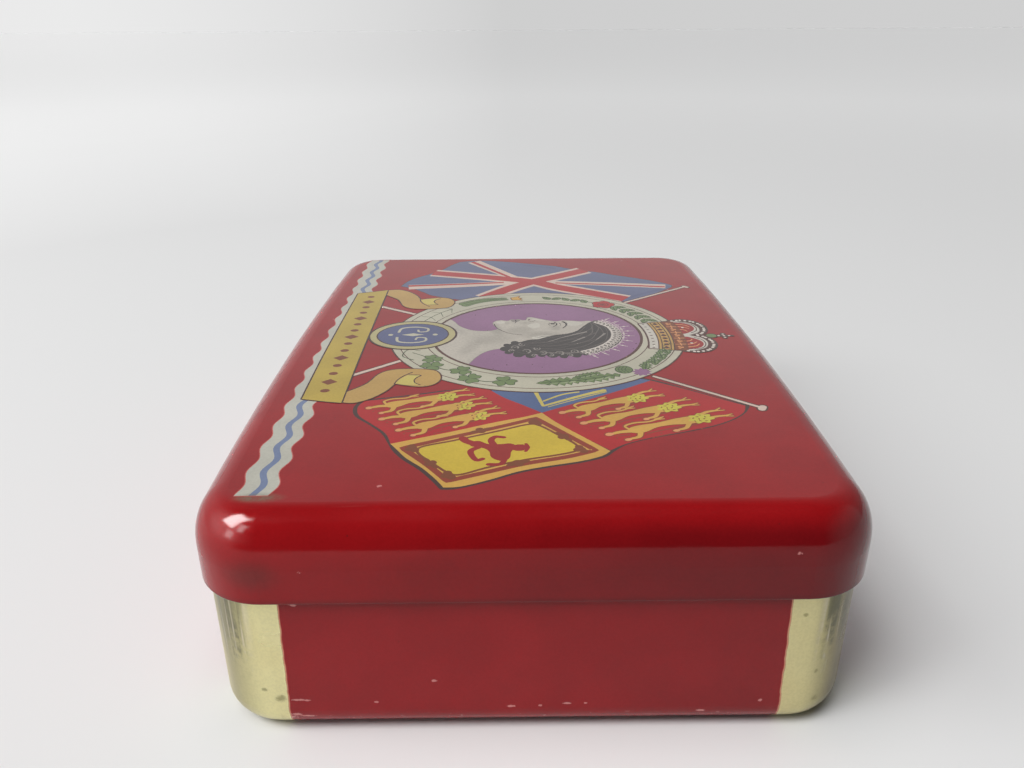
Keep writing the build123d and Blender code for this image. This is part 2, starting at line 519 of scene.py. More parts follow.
def beast(at, tail_end):
    """A small walking beast between its head and its hind paw, as outlines for each ink."""
    du, dv = tail_end[0] - at[0], tail_end[1] - at[1]
    stretch = math.hypot(du, dv) / BEAST_LENGTH
    turn = math.degrees(math.atan2(dv, du))

    def placed(points):
        return moved([(p[0] * stretch, p[1]) + tuple(p[2:]) for p in points], at, turn)

    def round_spot(x, y, reach_x, reach_y):
        return placed(ellipse((x, y), reach_x, reach_y, 12))

    trunk = smooth(placed([
        (1.4, -1.0), (4.2, -1.35), (7.4, -1.1), (9.6, -1.3), (11.4, -1.15), (12.3, -0.2), (11.5, 0.75),
        (10.0, 0.9), (8.0, 0.2), (5.6, 0.3), (3.6, 0.95), (2.0, 0.8)]), steps=4)
    legs = [
        ([(11.6, 0.0), (13.2, -0.35), (14.5, -0.3)], 0.95, 0.6),        # hind leg
        ([(10.8, 0.6), (11.6, 1.9), (12.9, 2.1)], 0.9, 0.5),            # lowered hind leg
        ([(3.2, 0.6), (4.4, 1.9), (5.6, 2.1)], 0.8, 0.5),               # lowered foreleg
        ([(1.0, -0.9), (-0.9, -1.6), (-2.5, -1.5)], 0.75, 0.45),        # raised forepaw
        ([(0.4, 0.3), (-1.5, 0.3), (-2.9, 0.6)], 0.7, 0.4),             # other forepaw
        ([(11.9, -0.8), (11.9, -1.9), (10.3, -2.3), (8.3, -1.9), (6.7, -2.2)], 0.4, 0.4),    # tail
    ]
    claws = [
        ([(-2.3, -1.5), (-3.5, -1.2)], 0.32, 0.2), ([(-2.3, -1.6), (-3.3, -2.1)], 0.32, 0.2),
        ([(-2.7, 0.5), (-3.8, 0.4)], 0.32, 0.2), ([(-2.7, 0.7), (-3.6, 1.1)], 0.32, 0.2),
        ([(7.0, -2.2), (5.6, -2.6)], 0.6, 0.2), ([(7.0, -2.2), (5.8, -1.9)], 0.5, 0.2),
    ]
    strokes = [stroke(placed(points), wide, last)[0] for points, wide, last in legs + claws]
    feet = ((15.0, -0.3, 0.62, 0.5), (13.4, 2.2, 0.5, 0.4), (6.1, 2.2, 0.5, 0.4))
    paws = [round_spot(*foot) for foot in feet]
    mane = []
    for angle in (2 * math.pi * k / MANE_POINTS for k in range(MANE_POINTS)):
        wave = math.cos(MANE_WAVES * angle)
        mane.append((1.0 + (1.7 + 0.28 * wave) * math.cos(angle), (1.5 + 0.25 * wave) * math.sin(angle)))
    locks = []
    for k in range(MANE_LOCKS):
        angle, reach = k * LOCK_TURN, 0.42 * math.sqrt(k + 0.3)
        at_x, at_y = 1.1 + reach * math.cos(angle), reach * math.sin(angle)
        tip = (at_x + 0.34 * math.cos(angle + 1.2), at_y + 0.34 * math.sin(angle + 1.2))
        locks.append(stroke(placed([(at_x, at_y), tip]), 0.26, 0.1, curved=False, cap=3)[0])
    shade = (
        ([(2.6, 1.5), (5.4, 1.3), (9.2, 1.4), (10.4, 1.7)], 0.5, 0.3),
        ([(7.4, 2.8), (9.6, 2.9)], 0.3, 0.2), ([(12.6, 0.9), (14.4, 0.6)], 0.4, 0.2))
    shadow = [stroke(placed(points), wide, last)[0] for points, wide, last in shade]
    dots = ((1.4, 2.4), (2.6, 3.0), (8.4, 2.1), (10.0, 2.9), (14.6, 1.2))
    shadow += [round_spot(x, y, 0.2, 0.16) for x, y in dots]
    return trunk, strokes, paws, placed(mane), locks, shadow


def quartered_flag():
    top_edge = [(33.6, 33.0), (36.0, 30.6), (38.1, 27.2), (40.0, 22.5), (41.8, 17.3), (43.7, 13.4)]
    hoist = [(28.2, 30.2), (24.6, 25.8)]
    outline = smooth([(31.3, 34.3, 0)] + top_edge + [
        (45.9, 11.2, 0), (47.4, 9.8), (48.8, 6.6), (50.1, 2.0), (51.5, -2.0), (53.7, -6.0), (55.4, -10.0),
        (55.6, -12.0, 0), (53.5, -13.2), (50.5, -15.2), (47.5, -17.8), (45.0, -19.4), (42.6, -20.4),
        (39.6, -21.7), (36.6, -24.0), (33.6, -26.6), (30.6, -27.3), (28.0, -26.6, 0), (26.6, -20.5),
        (24.8, -14.5), (23.0, -8.0), (18, -2), (16, 10), (20.4, 20.2)] + hoist[::-1])
    printed("quartered_flag_line", solid(grown(outline, 0.28)), 0.6, "key")
    middle_edge = [(30.6, 5.9), (27.5, 11.0), (24.0, 16.3)]
    first = smooth([(31.2, 33.9, 0)] + top_edge + [(45.6, 11.0, 0), (41, 7.3), (36.6, 4.0), QUARTER_MEET]
                   + middle_edge + [(20.9, 20.7, 0)] + hoist[::-1])
    fourth = smooth([
        QUARTER_MEET, (34.6, -1), (36.4, -5.5), (39, -11), (41.3, -16.3), (43, -20.2, 0), (39.8, -21.3),
        (36.8, -23.6), (33.6, -26.2), (30.5, -26.9), (28.2, -26.2, 0), (26.8, -20.5), (25.0, -14.5),
        (23.2, -8), (24.6, -6, 0), (27.5, -3.8), (30, -1.2)])
    printed("quartered_flag_red", solid(first, fourth), 1, "red")
    third = smooth([(20.9, 20.7, 0)] + middle_edge[::-1] + [
        QUARTER_MEET, (30, -1.2), (27.5, -3.8), (24.6, -6, 0), (18, -2), (16, 10)])
    printed("quartered_flag_blue", solid(third), 1.2, "blue")
    second = smooth([
        (45.8, 11.0, 0), (47.2, 9.6), (48.6, 6.6), (49.9, 2.0), (51.3, -2.0), (53.5, -6.0), (55.1, -9.6),
        (55.3, -11.8, 0), (53.3, -12.9), (50.3, -14.9), (47.3, -17.5), (44.9, -19.0), (43, -20.2, 0),
        (41.3, -16.3), (39, -11), (36.4, -5.5), (34.6, -1), QUARTER_MEET, (36.6, 4.0), (41, 7.3)])
    printed("quartered_flag_gold", solid(second), 1.4, "gold")


def flag_panel():
    """A small framed panel with buds round it, in the flag's outer half."""
    frame_loop = smooth([
        (45.5, 9.0, 0), (47.4, 4.8), (49.2, -1.0), (51.6, -6.6), (53.7, -11.4, 0), (49.3, -14.4),
        (44.3, -18.4, 0), (41.2, -11.8), (37.9, -4.8), (35.0, 0.9, 0), (40.3, 5.0)])
    panel = smooth([
        (45.3, 6.2), (46.5, 3.6), (47.9, -1.2), (49.9, -6.2), (51.8, -9.9), (51.1, -11.5), (48.6, -13.6),
        (45.9, -15.7), (44.2, -15.5), (42.4, -11.2), (39.5, -4.8), (37.4, -0.4), (37.8, 1.3), (40.8, 3.8),
        (43.6, 6.0)])
    printed("flag_panel_band", solid(grown(frame_loop, 0.45)), 2, "russet")
    printed("flag_panel_gap", solid(grown(frame_loop, -0.55)), 2.6, "gold")
    printed("flag_panel_line", solid(grown(panel, 0.45)), 3.2, "brown")
    printed("flag_panel", solid(panel), 3.8, "yellow")
    buds = []
    side_bud = ((0, 0, 1.7), (-1.0, 0, 0.8), (1.0, 0, 0.8), (0, 0.5, 0.6), (0, -0.5, 0.6))
    for at, turn in (((41.2, 4.7), 38), ((49.0, -2.0), -66), ((48.8, -14.0), 36), ((39.0, -7.4), -64)):
        buds += [moved(ellipse((x, y), reach, 0.42, 14), at, turn) for x, y, reach in side_bud]
    corner_bud = ((0, 0), (0.6, 0.3), (-0.6, -0.3), (0.2, -0.6))
    for at in ((45.1, 7.0), (52.1, -11.2), (44.4, -16.8), (36.3, 0.9)):
        buds += [ellipse((at[0] + u, at[1] + v), 0.62, 0.62, 12) for u, v in corner_bud]
    printed("flag_panel_buds", solid(*buds), 4.4, "brown")


def flag_beasts():
    """Three walking beasts in each of the two red quarters."""
    beasts = (
        ((27.6, 18.3), (33.4, 5.2)), ((31.2, 22.8), (37.1, 8.2)), ((35.2, 27.0), (40.9, 11.6)),
        ((26.5, -12.2), (31.1, -25.0)), ((29.9, -9.4), (35.1, -22.4)), ((33.6, -7.0), (38.9, -19.4)))
    shadows, edges, bodies, paws, manes, locks = [], [], [], [], [], []
    for at, end in beasts:
        trunk, strokes, feet, mane, curls, shadow = beast(at, end)
        edges += [grown(loop, 0.2) for loop in [trunk, mane] + strokes + feet]
        bodies += [trunk] + strokes
        paws += feet
        manes.append(mane)
        locks += curls
        shadows += shadow
    printed("flag_beast_shadows", solid(*shadows), 2, "russet")
    printed("flag_beast_edges", solid(*edges), 3, "russet")
    printed("flag_beast_bodies", solid(*bodies), 4.6, "gold")
    printed("flag_beast_paws", solid(*paws), 5.2, "pink_gold")
    printed("flag_beast_manes", solid(*manes), 5.5, "olive")
    printed("flag_beast_locks", solid(*locks), 6, "brown")


def flag_charges():
    """The rearing beast on the panel and the stringed motif in the blue quarter."""
    body = smooth([
        (44.4, -2.2), (46.2, -2.9), (48.4, -3.2), (49.2, -4.4), (48.0, -5.7), (46.2, -6.0), (45.0, -6.8),
        (44.2, -8.6), (42.9, -8.8), (42.4, -7.6), (43.5, -6.2), (43.6, -4.6), (43.4, -3.0)])
    limbs = [
        stroke([(43.8, -5.4), (42.2, -5.8), (41.0, -5.2), (41.2, -4.0)], 1.1, 0.8),
        stroke([(43.4, -8.2), (42.4, -9.4), (41.4, -9.9)], 1.4, 1.3),
        stroke([(44.6, -7.6), (45.8, -8.6), (47.4, -8.4), (48.9, -7.7), (48.5, -6.9)], 1.0, 0.8),
        stroke([(48.6, -3.8), (50.2, -4.4), (50.3, -6.0)], 0.8, 0.9),
        stroke([(44.8, -1.6), (44.9, -1.9)], 2.2),
        stroke([(43.6, -0.8), (44.8, -0.5), (46.1, -0.9)], 0.5),
    ]
    slimmed = [[[(44.9 + 0.88 * (u - 45.3), v) for u, v in loop] for loop in island]
               for island in solid(body) + limbs]
    printed("flag_rearing_beast", slimmed, 5, "maroon")
    harp = [
        stroke([(24.8, 12.4), (26.9, 8.4), (30.6, 2.3)], 0.9, 0.5),
        stroke([(25.4, 12.7), (27.6, 8.7), (31.0, 3.0)], 0.3, 0.2),
        stroke([(25.2, 1.2), (30.6, 2.2)], 0.7, 0.5),
        stroke([(25.4, 8.2), (26.4, 5.4), (28.8, 2.4)], 0.4),
    ]
    printed("flag_stringed_motif", harp, 2.4, "straw")


# ------------------------------------------------------------------ crossed poles
def poles():
    shafts = [
        ([(31.8, 36.0), (19.2, 21.6)], 0.62), ([(-15.0, -22.6), (-20.4, -30.4)], 0.8),
        ([(-32.8, 37.0), (-21.6, 22.0)], 0.62), ([(11.2, -22.6), (18.0, -30.4)], 0.8),
    ]
    knobs = [([(31.7, 36.5), (32.5, 36.1)], 1.2), ([(-33.3, 37.2), (-32.6, 37.7)], 0.9)]
    marks = shafts + knobs
    printed("poles_line", [stroke(p, w + 0.55, curved=False) for p, w in marks], 6, "umber")
    printed("poles", [stroke(p, w, curved=False) for p, w in marks], 7, "pole")


# ------------------------------------------------------------------ oval frame and its field
OVAL = (-1.85, 2.4)        # middle of the oval frame
FRAME_OUT = (27.2, 28.0)
FRAME_IN = (19.6, 20.2)


def on_frame(degrees, out=0.5):
    """A point in the frame's band: out runs from 0 at its inner edge to 1 at its outer edge."""
    reach = [a + (b - a) * out for a, b in zip(FRAME_IN, FRAME_OUT)]
    angle = math.radians(degrees)
    return (OVAL[0] + reach[0] * math.cos(angle), OVAL[1] + reach[1] * math.sin(angle))


def leaf(at, turn, length, width):
    blade = smooth([(0, 0, 0), (0.3, 0.5), (0.65, 0.4), (1, 0, 0), (0.65, -0.4), (0.3, -0.5)], steps=4)
    return moved([(x * length, y * width) for x, y in blade], at, turn)


def jagged_leaf(at, turn, length, width, teeth):
    """A spiky leaf with teeth down each side."""
    half = []
    for i in range(teeth):
        t = (i + 0.5) / teeth
        bulge = math.sin(math.pi * min(1, t * 0.9 + 0.08)) * width / 2
        half.append((t * length - 0.1 * length / teeth, bulge, 0))
        half.append(((i + 1) / teeth * length, bulge * 0.45 if i + 1 < teeth else 0, 0))
    loop = [(0, 0, 0)] + half + [(x, -y, 0) for x, y, _ in half[-2::-1]]
    return moved([p[:2] for p in loop], at, turn)


def clover(at, size, turn):
    """Three heart-shaped leaflets round a point."""
    leaflet = smooth([(0, 0, 0), (0.5, 0.55), (1.0, 0.42), (0.88, 0), (1.0, -0.42), (0.5, -0.55)], steps=4)
    return [moved(leaflet, at, turn + spin, size) for spin in (0, 120, 240)]


def oval_frame():
    outer = ellipse(OVAL, *FRAME_OUT, 120)
    inner = ellipse(OVAL, *FRAME_IN, 96)
    printed("oval_frame_shadow", [[grown(outer, 0.2), grown(inner, -0.4)]], 15, "umber")
    printed("oval_frame", [[grown(outer, -0.1), grown(inner, 0.15)]], 16, "cream")
    lines = [band(ellipse(OVAL, FRAME_OUT[0] - 1.45, FRAME_OUT[1] - 1.45, 120), 0.18),
             band(ellipse(OVAL, FRAME_IN[0] + 1.35, FRAME_IN[1] + 1.35, 96), 0.18)]
    printed("oval_frame_lines", lines, 17, "umber")


def frame_leaves():
    leaves, veins, stems, lights_on_leaves = [], [], [], []

    def add_leaf(at, turn, length, width, teeth=0):
        """A leaf with veins and a highlight, jagged where it has teeth."""
        blade = jagged_leaf(at, turn, length, width, teeth) if teeth else leaf(at, turn, length, width)
        leaves.append(blade)
        spine = [(length * 0.1, 0), (length * 0.5, 0.0), (length * 0.9, 0)]
        veins.append(stroke(moved(spine, at, turn), 0.2, 0.12))
        shine = [(length * 0.25, width * 0.13), (length * 0.5, width * 0.2), (length * 0.75, width * 0.13)]
        lights_on_leaves.append(stroke(moved(shine, at, turn), width * 0.16, 0.12))
        for k in (0.3, 0.5, 0.7):
            for side in (-1, 1):
                rib = [(length * k, 0), (length * (k + 0.12), side * width * 0.3)]
                veins.append(stroke(moved(rib, at, turn), 0.14, 0.1, curved=False, cap=3))

    def add_stem(places, width, end_width):
        stems.append(stroke([on_frame(*place) for place in places], width, end_width))

    for degrees in range(112, 137, 6):                               # leafy twig, upper left
        add_leaf(on_frame(degrees), degrees - 90 + 35, 2.7, 1.3)
        add_leaf(on_frame(degrees), degrees - 90 - 40, 2.5, 1.2)
    add_stem([(d, 0.5) for d in (138, 130, 120, 110)], 0.3, 0.2)
    for i, degrees in enumerate(range(151, 172, 5)):                 # rose leaves
        at = on_frame(degrees, 0.4 + 0.2 * (i % 2))
        add_leaf(at, degrees + 90 + (48 if i % 2 else -42), 2.3, 1.3)
    add_stem([(d, 0.5) for d in (146, 156, 165, 174)], 0.28, 0.18)
    for out in (0.45, 0.6):                                          # long leaves, lower left
        line = [on_frame(d, out + 0.1 * math.sin(math.radians((d - 193) * 6))) for d in (194, 202, 210, 217)]
        leaves.append(stroke(line, 0.5, 1.5)[0])
        veins.append(stroke(line, 0.16))
    for degrees in range(52, 74, 7):                                 # spiky leaves, upper right
        add_leaf(on_frame(degrees), degrees - 90 + 25, 3.9, 2.2, 4)
        add_leaf(on_frame(degrees), degrees + 90 - 35, 3.0, 1.8, 4)
    long_leaves = ((33, 0.58, -14, 8.8, 3.4), (18, 0.50, -9, 8.4, 3.5), (27, 0.26, 0, 5.4, 2.2))
    for degrees, out, bend, length, width in long_leaves:
        add_leaf(on_frame(degrees, out), degrees - 90 + bend, length, width, 7)
    add_stem([(d, 0.5) for d in (72, 58, 46)], 0.34, 0.2)
    clovers = ((-15, 0.5, 1.9, 70), (-29, 0.62, 1.9, 20), (-37, 0.35, 1.8, 40), (-50, 0.6, 1.9, 10),
               (-57, 0.35, 1.7, 80))
    for degrees, out, size, turn in clovers:
        leaves.extend(clover(on_frame(degrees, out), size, turn))
    add_stem(((-10, 0.45), (-24, 0.65), (-33, 0.35), (-45, 0.55), (-58, 0.4), (-68, 0.6)), 0.3, 0.18)
    add_stem(((-60, 0.75), (-66, 0.88), (-72, 0.65), (-69, 0.4)), 0.24, 0.16)
    twig = [(d, 0.5) for d in (226, 234, 242, 249)]
    add_stem(twig, 0.2, 0.14)
    for i, knot in enumerate(twig):
        add_stem((knot, (228 + i * 7.5, 0.75)), 0.16, 0.12)
        add_stem((knot, (231 + i * 7.5, 0.25)), 0.16, 0.12)
    printed("frame_leaf_lines", solid(*[grown(loop, 0.17) for loop in leaves]) + stems, 18, "dark_green")
    printed("frame_leaves", solid(*leaves), 19.5, "green")
    printed("frame_leaf_lights", lights_on_leaves, 20.6, "light_green")
    printed("frame_leaf_veins", veins, 22, "dark_green")


def frame_blooms():
    """A rose, a thistle and a bell flower on the frame."""
    rose_at = on_frame(142)
    petals = [ellipse(moved([(1.3, 0)], rose_at, 18 + 72 * k)[0], 1.1, 1.1, 20) for k in range(5)]
    printed("frame_rose_line", solid(*[grown(p, 0.16) for p in petals]), 22, "umber")
    printed("frame_rose", solid(*petals), 23, "red")
    heart = [band(ellipse(rose_at, 1.1, 1.1, 20), 0.18), band(ellipse(rose_at, 0.5, 0.5, 14), 0.2)]
    printed("frame_rose_heart", heart, 24, "umber")

    bulb, tuft = on_frame(38, 0.42), on_frame(41.5, 0.78)
    crest = [moved([(1.8 if k % 2 else 1.2, 0)], tuft, k * 20)[0] for k in range(18)]     # a star
    printed("frame_thistle_tuft", solid(crest), 23, "violet")
    printed("frame_thistle_line", solid(ellipse(bulb, 1.75, 1.6, 24)), 23.5, "dark_green")
    printed("frame_thistle", solid(ellipse(bulb, 1.55, 1.4, 24)), 24, "green")
    net = [[(-1.3, d), (0, d - 0.5), (1.3, d)] for d in (-0.5, 0.1, 0.7)]
    net += [[(d, -1.1), (d * 0.8, 1.1)] for d in (-0.8, 0.0, 0.8)]
    printed("frame_thistle_net", [stroke(moved(line, bulb), 0.14) for line in net], 25, "dark_green")

    bell = on_frame(189)
    cup = moved(smooth([(-0.8, -0.9, 0), (-1.0, 0.2), (-1.4, 1.1, 0), (-0.5, 0.7), (0, 1.3, 0), (0.5, 0.7),
                        (1.4, 1.1, 0), (1.0, 0.2), (0.8, -0.9, 0)]), bell, 12)
    printed("frame_bell_flower_line", solid(grown(cup, 0.2)), 23, "brown")
    printed("frame_bell_flower", solid(cup), 24, "gold")


# ------------------------------------------------------------------ portrait, nobody's face
SKIN = srgb(186, 178, 166)


def shaded_skin():
    """The portrait's screened grey, darker where a rounded face and neck turn from the light."""
    g = Graph("ink_skin")
    shades = (
        ((-5.9, 6.2), (2.4, 1.8), 0, 0.22),      # eye socket
        ((-4.6, -0.8), (3.2, 4.4), 20, 0.20),    # under the cheekbone
        ((-1.8, 3.4), (2.8, 6.0), 0, 0.22),      # side of the face, by the hair
        ((-5.4, -5.6), (5.4, 2.0), 14, 0.24),    # under the jaw
        ((0.6, -6.0), (3.6, 6.4), 10, 0.16),     # side of the neck
        ((-8.7, 0.4), (1.2, 1.8), 0, 0.14),      # beside the nose
        ((-8.9, -3.3), (1.3, 0.8), 0, 0.16),     # below the lip
        ((5.0, -10.4), (6.0, 2.2), -24, 0.16),   # shoulder
        ((-4.0, -12.6), (3.2, 1.6), 30, 0.12),   # collar bone
    )
    tone = g.ramp(g.noise(0.5, 2), 0.3, 0.7, 0.93, 1.05)
    for at, reach, turn, depth in shades:
        tone = g.times(tone, g.math("SUBTRACT", 1.0, g.times(g.picture_spot(at, reach, turn), depth)))
    return varnish(g, g.mix(1.0, SKIN, tone, "MULTIPLY"))


PROFILE = [
    (-8.4, 13.3), (-9.5, 11.3), (-10.0, 9.2), (-10.1, 7.9), (-9.6, 6.7), (-9.9, 5.7), (-10.7, 4.2),
    (-11.7, 2.6), (-12.3, 1.6), (-12.1, 0.9), (-11.2, 0.7), (-10.5, 0.4), (-10.5, -0.3), (-11.0, -0.9),
    (-11.1, -1.3), (-10.4, -1.6, 0), (-10.9, -2.0), (-10.9, -2.5), (-10.2, -3.0), (-10.2, -3.7),
    (-10.5, -4.5), (-10.1, -5.5), (-9.0, -6.1), (-7.6, -5.9)]
NECK = [
    (-5.4, -5.2), (-4.4, -6.4), (-4.2, -8.4), (-4.9, -10.6), (-7.2, -12.8), (-10.6, -14.4),
    (-13.4, -17.0, 0), (9.6, -17.0, 0), (13.4, -10.4, 0), (9.6, -9.0), (6.8, -7.2), (5.4, -4.6),
    (5.2, -1.0), (4.6, 4.0, 0)]
HAIR = [
    (-8.6, 13.0, 0), (-9.3, 14.3), (-8.2, 16.6), (-5.6, 18.2), (-2.0, 18.9), (1.8, 18.2), (5.2, 16.2),
    (7.8, 13.0), (9.2, 9.0), (9.4, 5.4), (8.6, 2.0), (8.9, -0.4), (7.6, -2.6), (5.2, -3.6), (3.0, -2.8),
    (2.0, -0.8), (0.9, 0.9), (0.6, 2.6), (-0.4, 4.0), (-1.6, 5.9), (-2.4, 8.4), (-3.8, 10.2), (-5.8, 11.4)]
HAIR_INNER = [(-8.5, 13.0), (-6.0, 11.9), (-4.0, 10.5), (-2.4, 8.3), (-1.2, 5.8), (0.3, 3.4), (1.4, 1.2),
              (2.6, -1.2), (3.9, -2.8)]
HAIR_OUTER = [(-8.9, 14.2), (-5.6, 17.6), (-1.2, 18.2), (3.6, 16.6), (7.2, 12.8), (8.8, 7.8), (8.2, 3.0),
              (8.2, -0.6), (5.8, -3.1)]
FIELD_MARKS = 26


def oval_field():
    random.seed(5)
    field = ellipse(OVAL, FRAME_IN[0] + 0.5, FRAME_IN[1] + 0.5, 96)
    printed("oval_field", solid(field), 8, "violet")
    flecks = []
    for _ in range(FIELD_MARKS):
        angle, reach = random.uniform(0, 2 * math.pi), math.sqrt(random.uniform(0.2, 0.95))
        at_x = OVAL[0] + FRAME_IN[0] * reach * math.cos(angle)
        at_y = OVAL[1] + FRAME_IN[1] * reach * math.sin(angle)
        flecks.append(ellipse((at_x, at_y), random.uniform(0.1, 0.22), random.uniform(0.08, 0.16), 8))
    printed("oval_field_flecks", solid(*flecks), 9, "key")


def portrait_face():
    bust = smooth(PROFILE + NECK)
    printed("portrait_line", solid(grown(bust, 0.14)), 9.5, "grey")
    film("portrait_skin", solid(bust), 10, shaded_skin())

    ear = smooth([(0.2, 4.6), (-0.9, 5.2), (-1.5, 4.2), (-1.2, 2.6), (-0.5, 1.4), (0.3, 1.6), (0.6, 3.0)])
    pale = [
        smooth([(-9.2, 11.0), (-9.6, 9.0), (-8.6, 8.4), (-7.0, 9.2), (-7.2, 10.8), (-8.2, 11.8)]),
        smooth([(-10.2, 4.4), (-11.4, 2.4), (-11.2, 1.6), (-10.4, 2.4), (-9.8, 4.0)]),
        smooth([(-8.6, 3.0), (-6.6, 3.2), (-5.6, 2.0), (-6.8, 0.8), (-8.2, 1.4)]),
        smooth([(-9.9, -4.0), (-9.7, -5.2), (-8.8, -5.4), (-8.4, -4.4), (-9.1, -3.8)]),
        ear,
    ]
    printed("portrait_lights", solid(*pale), 11, "pale")
    features = [
        stroke([(-9.4, 7.9), (-8.4, 8.5), (-7.0, 8.4), (-5.6, 7.7)], 0.5, 0.2),            # brow
        stroke([(-9.0, 6.2), (-8.3, 6.6), (-7.4, 6.5), (-6.5, 5.9)], 0.34, 0.2),           # upper lid
        stroke([(-8.8, 5.3), (-8.0, 5.0), (-7.2, 5.2)], 0.14, 0.1),                        # lower lid
        stroke([(-8.7, 7.1), (-7.8, 7.4), (-6.8, 7.2)], 0.13, 0.08),                       # lid fold
        stroke([(-11.0, 1.2), (-10.5, 1.0)], 0.32, 0.2),                                   # nostril
        stroke([(-10.2, 2.4), (-9.7, 1.8), (-9.9, 1.1)], 0.14, 0.1),                       # wing of the nose
        stroke([(-10.5, -1.6), (-9.6, -1.55), (-8.7, -1.8)], 0.24, 0.1),                   # mouth
        stroke([(0.1, 4.4), (-0.7, 4.7), (-1.0, 3.8), (-0.5, 2.8), (-0.7, 2.0)], 0.2, 0.12),   # ear
        stroke([(-8.4, -5.9), (-6.4, -5.5), (-4.4, -4.4), (-2.6, -2.6), (-1.8, -0.4)], 0.2, 0.12),   # jaw
    ]
    printed("portrait_features", features + solid(ellipse((-8.2, 5.8), 0.42, 0.5, 14)), 12, "hair")
    lips = [smooth([(-10.5, -0.6), (-11.0, -1.0), (-11.0, -1.4), (-10.2, -1.6), (-9.0, -1.7), (-9.8, -1.0)]),
            smooth([(-10.4, -1.7), (-10.9, -2.1), (-10.7, -2.6), (-10.0, -2.5), (-9.2, -1.9)])]
    printed("portrait_lips", solid(*lips), 11.5, "grey")


def portrait_hair():
    bumps = [ellipse((u, v), size, size * 0.85, 16) for u, v, size in (
        (8.5, 10.9, 0.7), (9.1, 9.2, 1.1), (9.6, 6.9, 0.9), (9.0, 4.9, 1.2), (9.0, 2.9, 0.8),
        (9.2, 0.9, 1.1), (8.6, -1.3, 1.2), (7.4, -3.1, 0.9), (5.6, -3.7, 1.2), (3.7, -3.4, 0.8),
        (2.4, -1.9, 0.9))]
    printed("portrait_hair", solid(smooth(HAIR), *bumps), 12.5, "hair")
    strands, waves = [], []
    for k in range(1, 12):
        share = k / 12
        line = []
        for i, (inner, outer) in enumerate(zip(HAIR_INNER, HAIR_OUTER)):
            sway = 0.32 * math.sin(1.9 * i + 2.3 * k)
            line.append(tuple(a + (b - a) * share + sway for a, b in zip(inner, outer)))
        strands.append(stroke(line[k % 3:len(line) - (k + 1) % 3], 0.17 if k % 2 else 0.26, 0.08))
        waves.append(stroke(line[2 + k % 2:4 + k % 4], 0.5, 0.12))
    printed("portrait_strands", strands, 13, "dark_grey")
    printed("portrait_waves", waves[1::3], 13.5, "grey")
    curls = []
    places = (
        ((6.9, 0.2), 0.9, 20), ((4.9, -1.9), 0.8, 60), ((7.7, 3.2), 0.8, 340), ((8.0, 6.2), 0.9, 30),
        ((3.4, -0.6), 0.7, 200), ((7.2, 9.0), 0.8, 70), ((5.6, 2.2), 0.7, 250), ((9.0, 1.6), 0.6, 120),
        ((8.8, 4.6), 0.6, 330), ((6.6, -2.6), 0.6, 90), ((9.0, 8.0), 0.6, 10))
    for at, size, turn in places:
        arc = ellipse(at, size, size * 0.8, 10, math.radians(turn), math.radians(240))
        curls.append(stroke(arc, 0.34, 0.14, curved=False, cap=3))
        curls.append([ellipse(at, 0.18, 0.16, 8)])
    printed("portrait_curls", curls, 14, "grey")


def portrait_tiara():
    rim = smooth([(-8.8, 14.2), (-6.2, 16.4), (-2.4, 17.0), (1.6, 16.0), (5.0, 13.4), (7.2, 10.2)],
                 closed=False, steps=8)
    outward = normals(rim, False)
    lace, rays, studs = [], [], []
    for i in range(1, len(rim) - 1):
        (u, v), (a, b) = rim[i], outward[i]
        if i % 2:
            lace += [band(ellipse((u + a * out, v + b * out), size, size, 12), 0.15)
                     for out, size in ((0.6, 0.44), (1.5, 0.34))]
            studs.append(ellipse((u + a * 2.3, v + b * 2.3), 0.2, 0.2, 8))
        else:
            tall = 4.3 if i % 4 else 3.0
            rays.append(stroke([(u, v), (u + a * tall, v + b * tall)], 0.24, 0.1, curved=False, cap=3))
            studs.append(ellipse((u + a * tall * 0.75, v + b * tall * 0.75), 0.25, 0.25, 8))
    ground = [(u + a * 0.6, v + b * 0.6) for (u, v), (a, b) in zip(rim, outward)]
    printed("portrait_tiara_ground", [stroke(ground, 1.7, curved=False)], 14.3, "dark_grey")
    printed("portrait_tiara", rays + lace + solid(*studs) + [stroke(rim, 0.26, curved=False)], 14.6, "white")


# ------------------------------------------------------------------ crown
CROWN_MIDDLE = -0.9
CROWN_BOW = 0.7            # how much higher its level lines are in the middle than at the ends
CROWN_ARCH = smooth([
    (-9.0, 29.4), (-9.6, 31.6), (-8.7, 33.8), (-6.4, 35.2), (-3.6, 35.2), (-1.5, 34.0), (-1.1, 32.6)],
    closed=False)
CROWN_ORB = ellipse((CROWN_MIDDLE + 0.4, 35.9), 0.95, 0.95, 20)


def both(points):
    """A line on the crown's left half, and its mirror image."""
    return [points, [(2 * CROWN_MIDDLE - u, v) for u, v in points]]


def hoop(v, half):
    """Points across the crown along one of its level, slightly bowed lines."""
    return [(CROWN_MIDDLE + half * t, v + CROWN_BOW * (1 - t * t)) for t in (-1, -0.5, 0, 0.5, 1)]


def belt(low, high, half_low, half_high):
    """The outline between two of those lines."""
    edges = hoop(low, half_low), hoop(high, half_high)[::-1]
    return smooth([p + (0,) if i in (0, 4) else p for edge in edges for i, p in enumerate(edge)])


